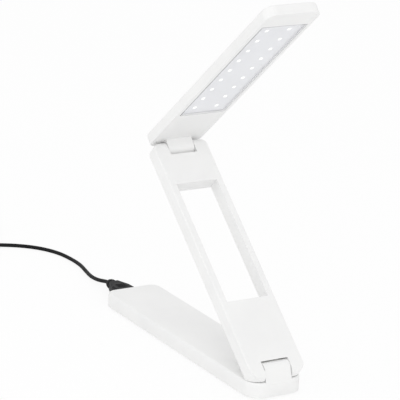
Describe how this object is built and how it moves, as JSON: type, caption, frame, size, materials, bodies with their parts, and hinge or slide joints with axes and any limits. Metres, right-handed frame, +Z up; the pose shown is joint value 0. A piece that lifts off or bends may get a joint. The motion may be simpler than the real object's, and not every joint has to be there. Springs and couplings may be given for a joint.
{
  "type": "folding desk lamp",
  "caption": "Slim folding LED desk lamp: flat base, arm with an open window and light head on two barrel hinges, side button, plug-in power cord.",
  "frame": {"origin": "centre of the lamp's footprint on the plane that its four rubber feet rest on", "axes": "+X along the base towards the hinge end, +Y across the base towards the button side, +Z up"},
  "size_m": [0.4234, 0.087, 0.2595],
  "materials": {
    "white_shell": "satin moulded plastic",
    "white_cover": "matt moulded plastic",
    "clear_lens": "clear plastic panel",
    "led_face": "pale phosphor face",
    "light_board": "white solder mask",
    "circuit_board": "green solder mask",
    "cell_pouch": "laminated foil",
    "wire_sleeve": "two-core lead",
    "plated_steel": "plated sheet",
    "contact_carrier": "moulded insulator",
    "switch_housing": "moulded housing",
    "steel": "drawn wire",
    "washer_plastic": "low-friction plastic",
    "foot_rubber": "soft pad",
    "cord_jacket": "matt black moulding"
  },
  "bodies": {
    "base": {"base_shell": "white_shell", "base_cover": "white_cover", "base_screws": "steel", "control_board": "circuit_board", "battery_cell": "cell_pouch", "base_lead": "wire_sleeve", "power_socket": "plated_steel", "socket_tongue": "contact_carrier", "push_switch": "switch_housing", "lower_hinge_pin": "steel", "foot_1": "foot_rubber", "foot_2": "foot_rubber", "foot_3": "foot_rubber", "foot_4": "foot_rubber", "lamp_plug_shell": "plated_steel", "lamp_plug_contacts": "contact_carrier", "lamp_plug_grip": "cord_jacket", "lamp_strain_relief": "cord_jacket", "cord_free": "cord_jacket", "cord_coil": "cord_jacket", "far_strain_relief": "cord_jacket", "far_plug_grip": "cord_jacket", "far_plug_shell": "plated_steel", "far_plug_contacts": "contact_carrier"},
    "button": {"power_button": "white_shell", "switch_plunger": "switch_housing"},
    "arm": {"arm_front_shell": "white_shell", "arm_back_shell": "white_shell", "arm_screws": "steel", "arm_lead": "wire_sleeve", "lower_washer_left": "washer_plastic", "lower_washer_right": "washer_plastic", "upper_washer_left": "washer_plastic", "upper_washer_right": "washer_plastic"},
    "head": {"head_bezel": "white_shell", "head_cover": "white_shell", "light_lens": "clear_lens", "led_board": "light_board", "head_lead": "wire_sleeve", "upper_hinge_pin": "steel", "led_left_1": "led_face", "led_left_2": "led_face", "led_left_3": "led_face", "led_left_4": "led_face", "led_left_5": "led_face", "led_left_6": "led_face", "led_left_7": "led_face", "led_left_8": "led_face", "led_left_9": "led_face", "led_right_1": "led_face", "led_right_2": "led_face", "led_right_3": "led_face", "led_right_4": "led_face", "led_right_5": "led_face", "led_right_6": "led_face", "led_right_7": "led_face", "led_right_8": "led_face", "led_right_9": "led_face"}
  },
  "joints": [
    {"name": "arm_hinge", "type": "hinge", "parent": "base", "child": "arm", "pos_m": [0.0877, 0, 0.0167], "axis": [0, 1, 0], "range_deg": [-40.2, 1.8]},
    {"name": "head_hinge", "type": "hinge", "parent": "arm", "child": "head", "pos_m": [-0.04505, 0, 0.12888], "axis": [0, 1, 0], "range_deg": [-13.2, 82.8]},
    {"name": "button_press", "type": "slide", "parent": "base", "child": "button", "axis": [0, -1, 0], "range_m": [0, 0.0005], "stiffness_N_per_m": 2000}
  ]
}
